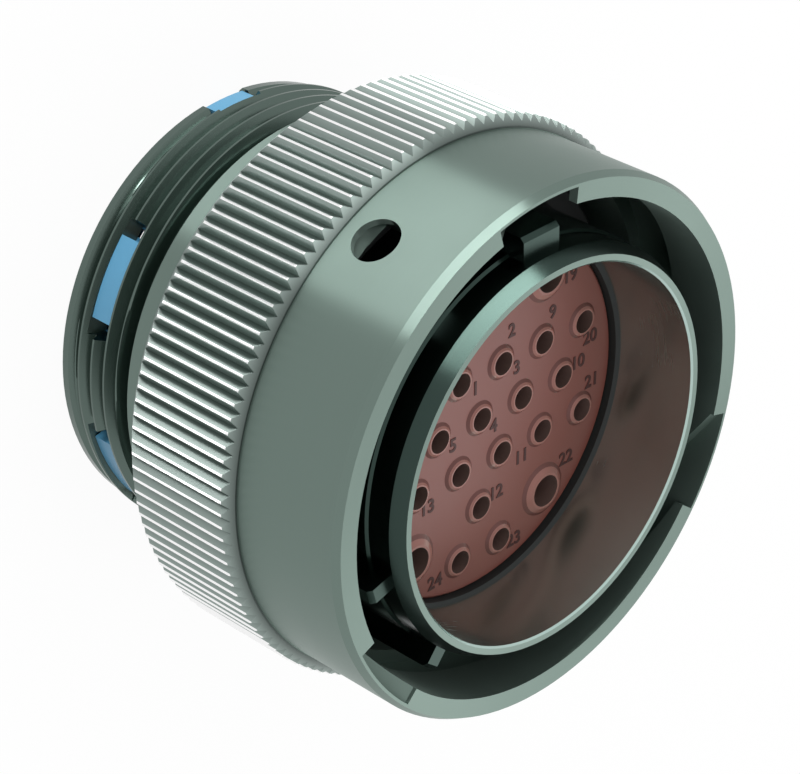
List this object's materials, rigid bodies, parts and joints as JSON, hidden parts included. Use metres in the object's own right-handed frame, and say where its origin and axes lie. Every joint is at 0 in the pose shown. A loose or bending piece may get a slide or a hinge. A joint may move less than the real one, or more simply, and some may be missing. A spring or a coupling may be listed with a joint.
{
  "type": "circular connector plug",
  "caption": "Bayonet circular connector plug with a knurled coupling ring, a threaded rear body, a windowed retainer and a soft insert face with raised cavities.",
  "frame": {"origin": "middle of the rear end of the plug body, which it stands on", "axes": "+Z along the connector's axis, out of the mating face; +Y is up for the insert's numbering, on the main key's side"},
  "size_m": [0.047, 0.047, 0.0362],
  "materials": {
    "shell_metal": "bright nickel plate with a cool green-grey tint",
    "ring_metal": "bright nickel plate, turned and knurled",
    "spring_steel": "bright spring steel",
    "seal_rubber": "matt black rubber",
    "face_silicone": "matt salmon-brown silicone",
    "insulator_plastic": "hard tan moulding",
    "clip_plastic": "dark moulding",
    "grommet_silicone": "soft brown silicone",
    "retainer_plastic": "light blue moulding",
    "contact_gold": "gold plated copper alloy"
  },
  "bodies": {
    "shell": {"plug_shell": "shell_metal", "snap_ring": "spring_steel", "peripheral_seal": "seal_rubber", "interfacial_seal": "face_silicone", "front_insulator": "insulator_plastic", "retention_plate": "clip_plastic", "rear_insulator": "insulator_plastic", "rear_grommet": "grommet_silicone", "insert_retainer": "retainer_plastic", "contact_01": "contact_gold", "contact_02": "contact_gold", "contact_03": "contact_gold", "contact_04": "contact_gold", "contact_05": "contact_gold", "contact_06": "contact_gold", "contact_07": "contact_gold", "contact_08": "contact_gold", "contact_09": "contact_gold", "contact_10": "contact_gold", "contact_11": "contact_gold", "contact_12": "contact_gold", "contact_13": "contact_gold", "contact_14": "contact_gold", "contact_15": "contact_gold", "contact_16": "contact_gold", "contact_17": "contact_gold", "contact_18": "contact_gold", "contact_19": "contact_gold", "contact_20": "contact_gold", "contact_21": "contact_gold", "contact_22": "contact_gold", "contact_23": "contact_gold", "contact_24": "contact_gold", "contact_25": "contact_gold", "contact_26": "contact_gold", "contact_27": "contact_gold"},
    "spring_pack": {"wave_spring": "spring_steel"},
    "ring": {"coupling_ring": "ring_metal", "thrust_washer": "spring_steel"}
  },
  "joints": [
    {"name": "ring_turn", "type": "hinge", "parent": "shell", "child": "spring_pack", "pos_m": [0, 0, 0.0181], "axis": [0, 0, 1], "continuous": true},
    {"name": "ring_press", "type": "slide", "parent": "spring_pack", "child": "ring", "axis": [0, 0, 1], "range_m": [0, 0.001], "stiffness_N_per_m": 3000, "springref_m": -0.001, "deforming": ["wave_spring"]}
  ]
}
